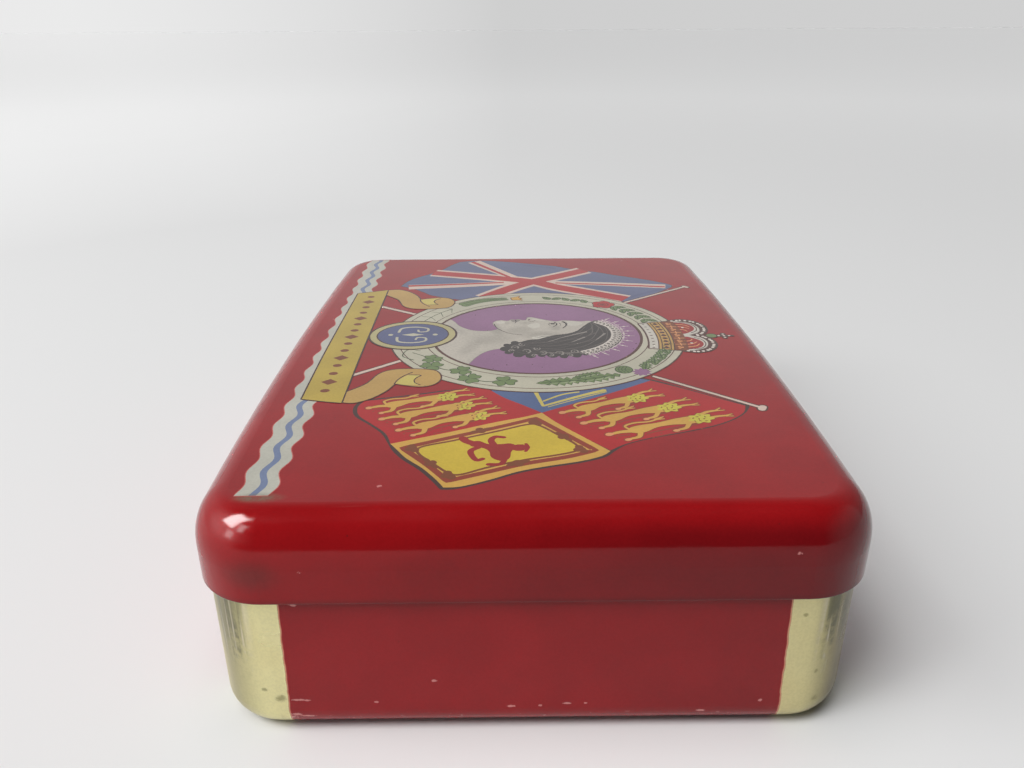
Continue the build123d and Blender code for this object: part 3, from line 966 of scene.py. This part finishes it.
def crown():
    ermine = belt(23.0, 24.6, 6.8, 7.1)
    circlet = belt(24.6, 27.4, 7.1, 7.7)
    cresting = belt(27.4, 30.0, 7.7, 8.2)
    lobe = smooth([(-8.4, 29.8), (-8.6, 31.8), (-7.4, 33.6), (-5.0, 34.4), (-2.8, 34.0), (-1.5, 32.6),
                   (-1.2, 30.6)])
    velvet = smooth([(-7.9, 29.8), (-8.0, 31.6), (-6.9, 33.0), (-4.9, 33.5), (-3.0, 32.6), (-1.9, 30.4)])
    finial = [stroke([(-0.5, 36.6), (-0.4, 39.9)], 1.3, 0.9, curved=False),
              stroke([(-1.5, 38.3), (0.7, 38.3)], 1.1, curved=False)]
    whole = [grown(part, 0.35) for part in (ermine, circlet, cresting, CROWN_ORB)]
    whole += [grown(part, 0.3) for part in both(lobe)]
    arches = [stroke(line, 1.5, curved=False) for line in both(CROWN_ARCH)]
    printed("crown_line", solid(*whole) + arches + finial, 18, "umber")
    printed("crown_lobes", solid(*both(lobe)), 20, "pale")
    printed("crown_cap", solid(*both(velvet)), 21, "maroon")
    pleats = [[(-7.2, 30.4), (-6.7, 31.9), (-5.6, 32.7)], [(-5.9, 30.3), (-5.4, 31.6), (-4.6, 32.4)],
              [(-4.2, 30.3), (-3.9, 31.3), (-3.1, 31.8)]]
    cap_lights = [stroke(line, 0.34, 0.2) for pleat in pleats for line in both(pleat)]
    printed("crown_cap_lights", cap_lights, 21.5, "pink_gold")
    printed("crown_circlet", solid(circlet), 22, "tan")
    printed("crown_cresting", solid(cresting), 22.4, "brown")
    printed("crown_ermine", solid(ermine), 23, "pale")


def crown_details():
    """Seams, jewels, crosses and pearls."""
    inner_arch = smooth([
        (-7.9, 30.0), (-8.2, 31.8), (-7.3, 33.2), (-5.4, 33.9), (-3.4, 33.6), (-2.2, 32.4)], closed=False)
    lines = [stroke(hoop(v, h), 0.22) for v, h in ((24.7, 7.0), (25.3, 7.2), (26.9, 7.4), (27.5, 7.6))]
    lines += [stroke(line, 0.2, curved=False) for line in both(inner_arch)]
    seams = [(-6.8, 29.9), (-6.5, 31.6)], [(-5.0, 30.1), (-4.8, 31.7)], [(-3.2, 30.2), (-3.4, 31.2)]
    lines += [stroke(line, 0.2, 0.12) for seam in seams for line in both(seam)]
    trefoil = ((0, 0.5), (-0.4, 0), (0.4, 0))
    dark, bright, pearls = [], [], []
    for k in range(-4, 5):
        u = CROWN_MIDDLE + k * 1.62
        rise = CROWN_BOW * (1 - (k / 4.4) ** 2)
        if k % 2:
            dark.append(ellipse((u, 26.1 + rise), 0.5, 0.5, 12))
            bright += [stroke([(u, 27.9 + rise), (u, 29.7 + rise)], 0.26, curved=False),
                       stroke([(u - 0.6, 28.8 + rise), (u + 0.6, 28.8 + rise)], 0.26, curved=False)]
        else:
            dark.append(lozenge((u, 26.1 + rise), 0.7, 0.6))
            bright += [[ellipse((u + a, 28.5 + rise + b), 0.3, 0.3, 8)] for a, b in trefoil]
        dark.append(ellipse((u, 23.7 + rise), 0.17, 0.3, 8))
        bright.append([ellipse((u + 0.8, 26.1 + rise), 0.2, 0.2, 8)])
    printed("crown_marks", solid(*dark) + lines, 25, "umber")
    printed("crown_crosses", bright, 25.5, "pink_gold")
    for line in both(CROWN_ARCH):
        length, due = 0.0, 0.4
        for a, b in zip(line, line[1:]):
            length += math.dist(a, b)
            if length >= due:
                pearls.append(ellipse(b, 0.36, 0.3, 10))
                due += 0.92
    cross = (-0.45, 37.3), (-0.4, 38.3), (-1.3, 38.3), (0.5, 38.3), (-0.4, 39.3)
    pearls += [ellipse(at, 0.27, 0.25, 8) for at in cross]
    pearls += [ellipse(spot[0], 0.3, 0.3, 8) for spot in both([(-5.2, 31.3)])]
    printed("crown_pearls", solid(*pearls), 26, "white")
    printed("crown_orb", solid(CROWN_ORB), 26.5, "green")


# ------------------------------------------------------------------ banner, scroll ends and badge
BANNER_LINE = 0.28         # width of the key line round the banner and its scroll ends
BANNER_MARKS = 15


def banner():
    panel = smooth([
        (-32.0, -30.3, 0), (-12, -30.25), (10, -30.1), (28.9, -29.8, 0), (28.2, -33.0), (27.3, -36.4, 0),
        (8, -36.7), (-12, -36.7), (-29.7, -36.6, 0), (-30.7, -33.6)])
    tail = smooth([
        (15.3, -17.6), (16.0, -15.8), (17.8, -14.9), (20.0, -14.8), (21.9, -15.8), (22.7, -17.8),
        (22.2, -20.0), (21.4, -22.2, 0), (24.5, -23.4), (27.3, -25.4), (28.9, -27.8), (28.6, -30.0, 0),
        (25.0, -30.0, 0), (21.5, -27.0), (17.2, -25.4), (15.4, -23.4), (15.0, -20.5)])
    fold = smooth([
        (17.9, -18.3, 0), (19.9, -19.1), (21.9, -18.3, 0), (22.0, -20.2), (21.3, -22.1, 0), (19.2, -21.4),
        (17.5, -20.1, 0)])
    creases = [
        [(16.6, -19.8), (18.0, -21.0), (19.8, -21.9), (21.5, -22.3)],
        [(17.7, -20.2), (17.9, -18.2), (18.9, -18.8), (20.1, -19.1), (21.2, -18.8), (22.0, -17.9)],
    ]
    middle = OVAL[0] + 0.2
    tails = [tail, mirrored(tail, middle)]
    folds = [fold, mirrored(fold, middle)]
    lines = [stroke(line, 0.26, 0.2) for line in creases + [mirrored(crease, middle) for crease in creases]]
    printed("banner_line", solid(*[grown(loop, BANNER_LINE) for loop in [panel] + tails]), 22, "umber")
    printed("banner_tails", solid(*tails), 23, "tan")
    printed("banner_tail_folds", solid(*folds), 24, "straw")
    printed("banner_creases", lines, 25, "key")
    printed("banner_gap", solid(grown(panel, BANNER_LINE * 0.9)), 25.5, "key")
    printed("banner", solid(panel), 26, "banner")
    marks = []
    for k in range(BANNER_MARKS):
        at = (-27.0 + k * 3.65, -33.35)
        marks.append(lozenge(at, 1.25, 1.4) if k % 3 == 1 else ellipse(at, 0.7, 0.8, 14))
    printed("banner_ornament", solid(*marks), 27, "brown")


BADGE = (-2.35, -21.6)


def badge():
    printed("badge_line", solid(ellipse(BADGE, 8.1, 8.6)), 28, "key")
    printed("badge_rim", [band(ellipse(BADGE, 7.05, 7.6), 1.2)], 29, "rim_gold")
    printed("badge_field", solid(ellipse(BADGE, 6.2, 6.75)), 29, "deep_blue")
    curl = (1.5, -2.9), (3.7, -2.4), (4.4, 0.1), (3.6, 2.5), (1.9, 2.6), (1.6, 1.1), (2.7, 0.8)
    scrolls = [stroke([(BADGE[0] + side * u, BADGE[1] + v) for u, v in curl], 0.55, 0.4) for side in (-1, 1)]
    dots = [ellipse((BADGE[0], BADGE[1] + v), 0.5, 0.5, 12) for v in (-4.3, 4.3)]
    printed("badge_ornament", scrolls + solid(lozenge(BADGE, 0.8, 2.2), *dots), 30, "cream")


# ------------------------------------------------------------------ lacquer on the two pressed shells
LID_RED = srgb(148, 19, 23)
BASE_RED = srgb(152, 23, 28)
SHADED_RED = srgb(84, 10, 16)                             # painted shade: the red darkens to this towards +X, away from the light
PANEL_EDGE = srgb(228, 160, 130)
CHIP = srgb(222, 150, 146)
# Painted shade under the lid's rim and along its lower edge, and the darkening at the base's foot.
SHADE_AND_GRIME = srgb(66, 30, 30)
SMUDGE = srgb(92, 40, 36)
GOLD = srgb(234, 226, 172)
MELLOW_GOLD = srgb(204, 190, 136)
SHADED_GOLD = srgb(150, 134, 92)                          # painted shade: and the gold to this
# Painted shade where the gold corner turns away from the light, more on the +X side.
TURN_SHADE_GOLD = srgb(128, 118, 86)
# Painted shade high up at the outer edge of the gold corner.
EDGE_SHADE_GOLD = srgb(96, 96, 82)
FOOT_GOLD = srgb(96, 92, 62)
GOLD_STAIN = srgb(122, 116, 74)
DARK_STREAK = srgb(88, 88, 70)
BRIGHT_STREAK = srgb(232, 222, 200)
TINPLATE = srgb(190, 187, 178)
FRECKLE = srgb(120, 84, 56)
GOLD_ROUGH = 0.3
TIN_ROUGH = 0.32
GOLD_FROM_X = 33.0         # the plain corners begin this far out along each axis, at the lid's rim
GOLD_FROM_Y = 51.5
GOLD_SPREAD = 0.5          # and this much further out at the foot
# Marks on the short side nearest the camera: x, z, half width and half height.
LID_CHIPS = ((-29.4, 27.4, 0.4, 0.3), (32.6, 29.4, 0.5, 0.25))
BASE_CHIPS = (
    (-13.5, 9.0, 0.4, 0.25), (-21.5, 5.4, 0.35, 0.2), (-3.2, 4.4, 0.9, 0.2), (0.7, 4.5, 0.3, 0.2),
    (4.3, 4.8, 0.7, 0.18), (6.9, 4.8, 0.3, 0.18), (22.6, 3.2, 0.7, 0.25), (30.6, 5.0, 0.35, 0.25),
    (-32.0, 5.9, 1.3, 0.2), (-30.8, 5.8, 0.7, 0.16), (-32.6, 3.3, 0.9, 0.3), (-31.0, 2.9, 1.2, 0.2),
    (-5.0, 1.3, 0.4, 0.2), (-31.0, 21.7, 0.6, 0.25), (-33.8, 2.6, 1.6, 0.45))
GOLD_STAINS = (
    (-34.3, 6.2, 0.9, 0.7), (-36.4, 7.6, 0.5, 0.35), (34.9, 19.3, 0.4, 0.35), (37.8, 9.5, 0.4, 0.5),
    (38.4, 4.6, 0.8, 0.7))
CHIP_EDGES = (0.3, 0.6)    # a mark's own strength where it starts to show, and where it is full
STAIN_EDGES = (0.1, 0.95)


def front_marks(g, marks, edge):
    """1 on a list of marks with ragged rims."""
    ragged = g.ramp(g.noise(0.35, 3, 0.7), 0.3, 0.7, -0.22, 0.22)
    front = BASE_LOW.y / MM
    spots = [g.spot((x, front, z), (wide * 1.5, 2, high * 1.5), edge=(0, 1)) for x, z, wide, high in marks]
    return g.ramp(g.plus(g.most(*spots), ragged), *edge)


def bare_inside(g, colour, rough, metal, middle):
    """Bare tinplate on the faces that look into the tin."""
    inside = g.faces_in(middle)
    rubbed = g.ramp(g.noise(1, 3, 0.6, g.scaled(g.position, (0.4, 0.4, 2.5))), 0.3, 0.75, 0.78, 1.06)
    tin = g.mix(1.0, TINPLATE, rubbed, "MULTIPLY")
    freckles = g.times(g.ramp(g.cells(3.1), 0.12, 0.05), g.ramp(g.noise(11, 2), 0.54, 0.66))
    tin = g.mix(g.times(freckles, 0.6), tin, FRECKLE)
    return (g.mix(inside, colour, tin), g.ramp(inside, 0, 1, rough, TIN_ROUGH, smooth=False),
            g.most(inside, metal))


def lid_lacquer():
    g = Graph("lid_lacquer")
    height = g.axes()[2]
    # Painted shade along the lid's lower edge, where it meets the base.
    seam = g.ramp(height, LID_RIM / MM + 1.1, LID_RIM / MM, 0, 0.4)
    colour = g.mix(seam, LID_RED, SHADE_AND_GRIME)
    smudge = g.spot((-35.6, -62.6, 26.8), (5.2, 5, 3.2))
    colour = g.mix(g.times(smudge, 0.5), colour, SMUDGE)
    colour = end_smudge(g, colour)
    # Painted shade: the lid's sides darken towards +X, away from the light.
    below_top = g.ramp(height, LID_TOP / MM - 0.3, LID_TOP / MM - 3.2)
    shade_towards_x = g.ramp(g.axes()[0], -46, 40, 0, 0.64)
    colour = g.mix(g.times(below_top, shade_towards_x), colour, SHADED_RED)
    chips = g.most(small_chips(g), front_marks(g, LID_CHIPS, CHIP_EDGES))
    colour = g.mix(g.times(chips, 0.6), colour, CHIP)
    colour, rough, metal = bare_inside(g, colour, GLOSS, 0.0, LID_RIM / MM + 0.8)
    return varnish(g, colour, metal=metal, roughness=rough)


def red_panel(g, x, z, past):
    """The base's red, with painted shade under the lid's rim and towards +X, darker towards the foot and
    worn along it.
    """
    rim = LID_RIM / MM
    # Painted shade under the lid's rim.
    under_rim = g.times(g.ramp(z, rim - 1.4, rim - 0.1, 0, 0.45), g.ramp(z, rim + 1.6, rim + 0.4))
    red = g.mix(under_rim, BASE_RED, SHADE_AND_GRIME)
    # Darker towards the foot.
    red = g.mix(g.ramp(z, 1.3, 0.3, 0, 0.55), red, SHADE_AND_GRIME)
    # Painted shade: darker towards +X, away from the light.
    red = g.mix(g.ramp(x, -5, 40, 0, 0.25), red, SHADED_RED)
    edge = g.ramp(past, -0.24, -0.12)
    red = g.mix(g.times(edge, 0.7), red, PANEL_EDGE)
    worn_foot = g.times(g.ramp(z, 3.6, 2.2), g.ramp(g.noise(1.1, 3, 0.6), 0.64, 0.70))
    chips = g.most(small_chips(g), front_marks(g, BASE_CHIPS, CHIP_EDGES), g.times(worn_foot, 0.6))
    return g.mix(g.times(chips, 0.8), red, CHIP)


def gold_corner(g, x, z, past):
    """The plain gold: stained low down and darker at the foot, streaked up the corner where drawing gathered
    the sheet, with painted shade towards +X and where the corner turns away from the light.
    """
    leaf = g.mix(g.ramp(g.noise(9, 2), 0.35, 0.75, 0, 0.4), GOLD, MELLOW_GOLD)
    # Painted shade: darker towards +X, away from the light.
    leaf = g.mix(g.ramp(x, -20, 20, 0.0, 0.28), leaf, SHADED_GOLD)
    low_dirt = g.times(g.ramp(z, 4.5, 0.5), g.ramp(g.noise(1.6, 3, 0.6), 0.5, 0.7))
    stains = g.most(front_marks(g, GOLD_STAINS, STAIN_EDGES), g.times(low_dirt, 0.5))
    leaf = g.mix(g.times(stains, 0.65), leaf, GOLD_STAIN)
    # Painted shade where the corner turns away from the light, more on the +X side.
    turn_shade = g.times(g.ramp(past, 2.4, 8.0), g.ramp(x, -20, 20, 0.62, 0.95))
    leaf = g.mix(turn_shade, leaf, TURN_SHADE_GOLD)
    high = g.ramp(g.plus(z, g.ramp(g.noise(1.2, 3, 0.6), 0.3, 0.7, -3, 3)), 9.5, 19.5)
    pulled = g.times(g.ramp(past, 3.2, 5.4), high)
    down = g.scaled(g.position, (0.6, 0.6, 0.03))
    dark_lines = g.times(g.ramp(g.noise(1, 3, 0.6, down), 0.38, 0.66), pulled)
    across = g.scaled(g.position, (1.1, 1.1, 0.04), shift=(3, 5, 0))
    bright_lines = g.times(g.ramp(g.noise(1, 2, 0.6, across), 0.54, 0.68), pulled)
    leaf = g.mix(g.times(dark_lines, 0.85), leaf, DARK_STREAK)
    # Painted shade high up at the corner's outer edge, where it turns away.
    edge_shade = g.times(g.ramp(past, 6.0, 9.5), g.ramp(z, 11, 17, 0.15, 0.7))
    leaf = g.mix(edge_shade, leaf, EDGE_SHADE_GOLD)
    leaf = g.mix(g.times(bright_lines, 0.55), leaf, BRIGHT_STREAK)
    return g.mix(g.ramp(z, 0.9, 0.2, 0, 0.6), leaf, FOOT_GOLD)


def base_lacquer():
    """Red panels on the sides and plain gold corners, where drawing stretched the sheet."""
    g = Graph("base_lacquer")
    x, y, z = g.axes()
    spread = g.ramp(z, 0, LID_RIM / MM, GOLD_SPREAD, 0.0, smooth=False)
    start = g.plus(spread, g.ramp(g.noise(2.5, 2), 0.3, 0.7, -0.07, 0.07))
    past_x, past_y = (g.math("SUBTRACT", g.math("SUBTRACT", g.math("ABSOLUTE", axis), begins), start)
                      for axis, begins in ((x, GOLD_FROM_X), (y, GOLD_FROM_Y)))
    past = g.math("MINIMUM", past_x, past_y)               # millimetres into the gold, negative on the red
    underneath = g.ramp(z, 0.12, 0.05)
    gold = g.most(g.ramp(past, -0.06, 0.06), underneath)
    colour = g.mix(gold, red_panel(g, x, z, past), gold_corner(g, x, z, past))
    rough = g.ramp(gold, 0, 1, GLOSS + 0.02, GOLD_ROUGH, smooth=False)
    colour, rough, metal = bare_inside(g, colour, rough, g.times(gold, 0.72), BASE_HIGH.z / MM / 2)
    return varnish(g, colour, metal=metal, roughness=rough)


# ------------------------------------------------------------------ stage
# Painted light: the paper's colour brightens from near the tin to far off.
PAPER_NEAR = srgb(233, 233, 233)
PAPER_FAR = srgb(249, 249, 249)
PAPER_FADE = (260, 1150)   # millimetres from the tin's middle
PAPER_GLOW = 0.622         # how bright the lit floor looks far off, so that no horizon shows
WASH = 0.205               # painted light: how much brighter the far paper glows in one direction
WASH_TOWARDS = (-0.6, 0.8, 0)
WASH_EDGES = (0.8, 0.98)   # from none to all of it, as the cosine of the angle to that direction
WASH_START = 300           # millimetres from the tin's middle
BACKDROP = 0.70            # brightness of the backdrop low down, as the gloss sees it
BACKDROP_UPPER = 0.62      # and higher up
FLOOR_REACH = 30           # metres from the middle to each edge
LAMP_TARGET = Vector((0, 0, 0.02))


def stage_floor():
    mesh = bpy.data.meshes.new("stage_floor")
    corners = [(x * FLOOR_REACH, y * FLOOR_REACH, 0) for x, y in ((-1, -1), (1, -1), (1, 1), (-1, 1))]
    mesh.from_pydata(corners, [], [(0, 1, 2, 3)])
    floor = bpy.data.objects.new("stage_floor", mesh)
    scene.collection.objects.link(floor)
    g = Graph("stage_paper")
    length = g.node("VectorMath", operation="LENGTH")
    g.feed(length.inputs[0], g.position)
    distance = length.outputs["Value"]
    # Painted light: the paper is brighter the further it is from the tin.
    far_off = g.ramp(distance, *PAPER_FADE)
    g.feed(g.shader.inputs["Base Color"], g.mix(far_off, PAPER_NEAR, PAPER_FAR))
    g.shader.inputs["Roughness"].default_value = 0.8
    g.shader.inputs["Specular IOR Level"].default_value = 0.0
    heading = g.math("DIVIDE", g.dot(g.position, WASH_TOWARDS), distance)
    growth = g.math("SUBTRACT", 1, g.math("DIVIDE", WASH_START, distance), clamp=True)
    seen = g.node("LightPath").outputs["Is Camera Ray"]
    # Painted light: the far paper glows brighter towards the back left, seen by the camera only.
    painted_glow = g.times(g.ramp(heading, *WASH_EDGES, 0, WASH, smooth=False), growth, seen)
    g.shader.inputs["Emission Color"].default_value = (1, 1, 1, 1)
    g.feed(g.shader.inputs["Emission Strength"], painted_glow)
    mesh.materials.append(g.material)


class Sky(Graph):
    """The world's node tree, which the tin's gloss reflects."""

    def __init__(self):
        world = bpy.data.worlds.new("studio")
        scene.world = world
        world.use_nodes = True
        self.tree = world.node_tree
        self.background = self.tree.nodes["Background"]
        self.towards = self.node("TexCoord").outputs["Generated"]

    def along(self, direction):
        return self.dot(self.towards, direction)

    def window(self, direction, size, strength, edge=0.15):
        """A bright pane in a direction; size is its half width and half height at unit distance."""
        ahead = Vector(direction).normalized()
        side = ahead.cross(Vector((0, 0, 1))).normalized()
        depth = self.most(self.along(ahead), 0.01)
        pane = strength
        for axis, half in zip((side, side.cross(ahead)), size):
            off = self.math("ABSOLUTE", self.math("DIVIDE", self.along(axis), depth))
            pane = self.times(self.ramp(off, half * (1 + edge), half * (1 - edge)), pane)
        return pane


WINDOWS = (                # direction, half width and height at unit distance, brightness
    ((-0.66, -0.24, 0.71), (0.18, 0.27), 30),
    ((-0.56, -0.57, 0.60), (0.08, 0.14), 10),
    ((-0.80, -0.51, 0.31), (0.10, 0.12), 9),
)
WALL_GLOW = ((-0.90, -0.28, 0.34), (0.42, 0.46), 1.8)


def studio_world():
    """A pale backdrop behind the tin, a dim room overhead and in front, windows on the left."""
    sky = Sky()
    x, y, z = (sky.along(axis) for axis in ((1, 0, 0), (0, 1, 0), (0, 0, 1)))
    low_part = sky.ramp(z, 0.2, 0.52, BACKDROP, BACKDROP_UPPER, smooth=False)
    high_part = sky.ramp(z, 0.52, 0.95, 1.0, 0.03, smooth=False)
    behind = sky.times(sky.ramp(y, -0.1, 0.3, smooth=False), sky.ramp(x, 0.3, 0.8, 1.0, 0.4, smooth=False))
    left = sky.times(sky.ramp(x, -0.3, -0.75, 0.0, 1.15, smooth=False),
                     sky.ramp(z, 0.1, 0.25, 0.1, 1, smooth=False))
    right = sky.times(sky.ramp(x, 0.5, 0.88, 0.03, 0.75, smooth=False), sky.ramp(y, 0.4, 0.15))
    room = sky.times(low_part, high_part, sky.most(left, right, behind))
    panes = sky.most(*[sky.window(*window) for window in WINDOWS], sky.window(*WALL_GLOW, edge=0.8))
    rays = sky.node("LightPath").outputs
    direct = sky.ramp(rays["Diffuse Depth"], 0.4, 0.6, 1.0, 0.0, smooth=False)
    glossy = sky.plus(room, sky.times(panes, direct))
    paper = sky.ramp(sky.along(WASH_TOWARDS), *WASH_EDGES, PAPER_GLOW, PAPER_GLOW + WASH, smooth=False)
    seen = sky.times(rays["Is Camera Ray"], paper)
    strength = sky.plus(seen, sky.times(glossy, rays["Is Glossy Ray"]))
    sky.background.inputs["Color"].default_value = (1, 1, 1, 1)
    sky.feed(sky.background.inputs["Strength"], strength)


def aimed(name, data, direction):
    """A light that points in a direction and that the gloss doesn't show."""
    made = bpy.data.objects.new(name, data)
    made.rotation_euler = Vector(direction).to_track_quat("-Z", "Y").to_euler()
    made.visible_glossy = False
    scene.collection.objects.link(made)
    return made


def lamp(name, place, size, power):
    """A soft square lamp aimed at the tin."""
    data = bpy.data.lights.new(name, "AREA")
    data.size = size
    data.energy = power
    made = aimed(name, data, LAMP_TARGET - Vector(place))
    made.location = place
    made.visible_camera = False


def sun(name, direction, strength, angle):
    data = bpy.data.lights.new(name, "SUN")
    data.energy = strength
    data.angle = math.radians(angle)
    aimed(name, data, direction)


def lights():
    sun("soft_sky", (0.10, 0.10, -1), 0.98, 46)
    sun("window_side", (0.54, 0.40, -1), 1.28, 26)
    lamp("left_fill", (-0.82, -0.24, 0.72), 0.6, 5.0)
    lamp("front_fill", (-0.30, -0.33, 0.16), 0.2, 0.16)


# ------------------------------------------------------------------ the tin
add_camera()
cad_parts["lid_shell"].material_slots[0].material = lid_lacquer()
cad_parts["base_shell"].material_slots[0].material = base_lacquer()
ribbon()
crossed_flag()
quartered_flag()
flag_panel()
flag_beasts()
flag_charges()
poles()
oval_field()
portrait_face()
portrait_hair()
portrait_tiara()
oval_frame()
frame_leaves()
frame_blooms()
crown()
crown_details()
banner()
badge()
stage_floor()
studio_world()
lights()
